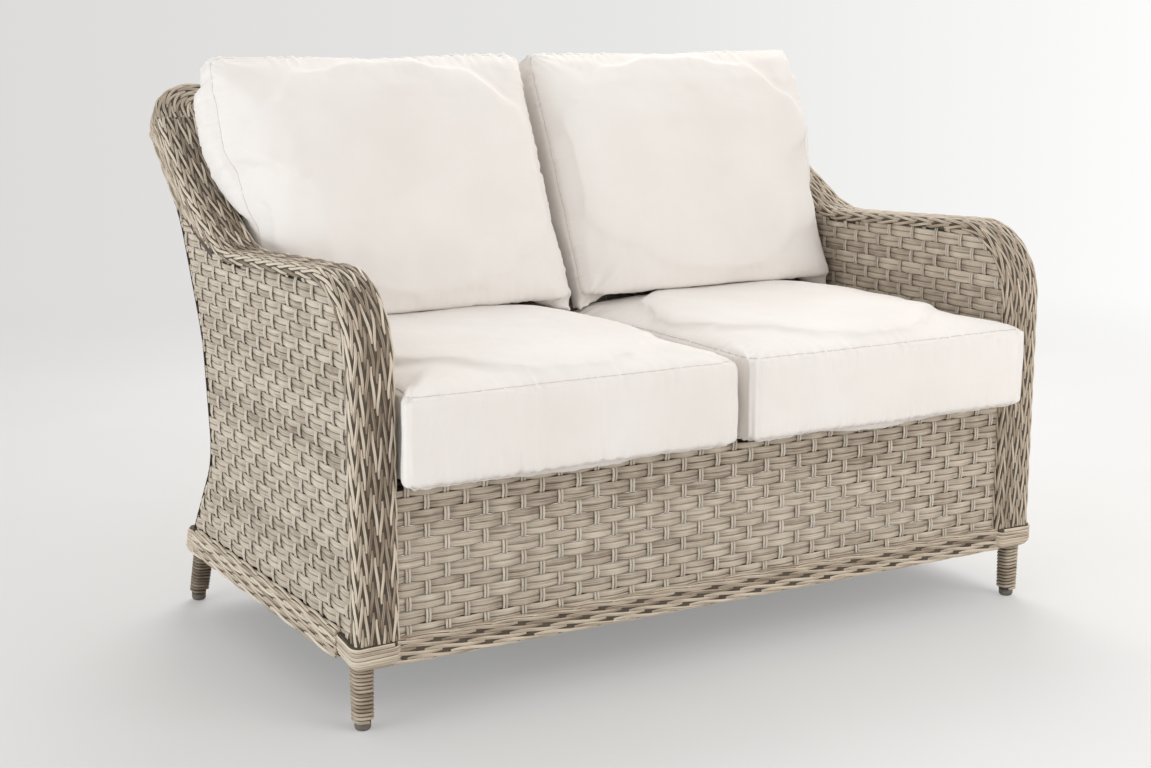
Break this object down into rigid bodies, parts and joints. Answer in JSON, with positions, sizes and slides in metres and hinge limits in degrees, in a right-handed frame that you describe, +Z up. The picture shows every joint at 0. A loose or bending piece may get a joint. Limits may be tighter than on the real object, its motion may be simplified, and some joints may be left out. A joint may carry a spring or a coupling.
{
  "type": "patio loveseat",
  "caption": "Woven resin patio loveseat with swooping arms, a leaning back, wound legs and loose boxed cushions on a webbed seat deck.",
  "frame": {"origin": "on the floor, in the middle of the overall width and depth", "axes": "+X to the right as seen from the front, +Y towards the back, +Z up"},
  "size_m": [1.396, 0.9986, 1.0233],
  "materials": {
    "frame": "satin powder coat",
    "wicker": "matt resin strand",
    "webbing": "woven strap",
    "glide": "matt",
    "cushion_fabric": "matt woven cloth",
    "cushion_fill": "soft wadding"
  },
  "bodies": {
    "frame": {"arm_braid_left": "wicker", "arm_braid_right": "wicker", "arm_inner_frame_left": "frame", "arm_inner_frame_right": "frame", "back_uprights": "frame", "back_weave_front": "wicker", "back_weave_rear": "wicker", "base_rail_front": "frame", "base_rail_left": "frame", "base_rail_rear": "frame", "base_rail_right": "frame", "collar_front_left": "wicker", "collar_front_right": "wicker", "collar_rear_left": "wicker", "collar_rear_right": "wicker", "crest_braid": "wicker", "crest_tube": "frame", "deck_bars": "frame", "deck_straps_cross": "webbing", "deck_straps_long": "webbing", "front_apron_weave": "wicker", "front_border": "wicker", "glide_front_left": "glide", "glide_front_right": "glide", "glide_rear_left": "glide", "glide_rear_right": "glide", "leg_core_front_left": "frame", "leg_core_front_right": "frame", "leg_core_rear_left": "frame", "leg_core_rear_right": "frame", "leg_wrap_front_left": "wicker", "leg_wrap_front_right": "wicker", "leg_wrap_rear_left": "wicker", "leg_wrap_rear_right": "wicker", "post_arm_tube_left": "frame", "post_arm_tube_right": "frame", "rear_border": "wicker", "rear_post_tube_left": "frame", "rear_post_tube_right": "frame", "seat_rail_front": "frame", "seat_rail_left": "frame", "seat_rail_rear": "frame", "seat_rail_right": "frame", "side_border_left": "wicker", "side_border_right": "wicker", "side_weave_inner_left": "wicker", "side_weave_inner_right": "wicker", "side_weave_outer_left": "wicker", "side_weave_outer_right": "wicker"},
    "seat_left": {"seat_cushion_cover_left": "cushion_fabric", "seat_cushion_fill_left": "cushion_fill"},
    "seat_right": {"seat_cushion_cover_right": "cushion_fabric", "seat_cushion_fill_right": "cushion_fill"},
    "back_left": {"back_cushion_cover_left": "cushion_fabric", "back_cushion_fill_left": "cushion_fill"},
    "back_right": {"back_cushion_cover_right": "cushion_fabric", "back_cushion_fill_right": "cushion_fill"}
  },
  "joints": [
    {"name": "seat_left_slide_out", "type": "slide", "parent": "frame", "child": "seat_left", "axis": [0, -1, 0], "range_m": [0, 0.7]},
    {"name": "back_left_lift_out", "type": "slide", "parent": "frame", "child": "back_left", "axis": [0, 0.4218, 0.9067], "range_m": [0, 0.5]},
    {"name": "seat_right_slide_out", "type": "slide", "parent": "frame", "child": "seat_right", "axis": [0, -1, 0], "range_m": [0, 0.7]},
    {"name": "back_right_lift_out", "type": "slide", "parent": "frame", "child": "back_right", "axis": [0, 0.4218, 0.9067], "range_m": [0, 0.5]}
  ]
}
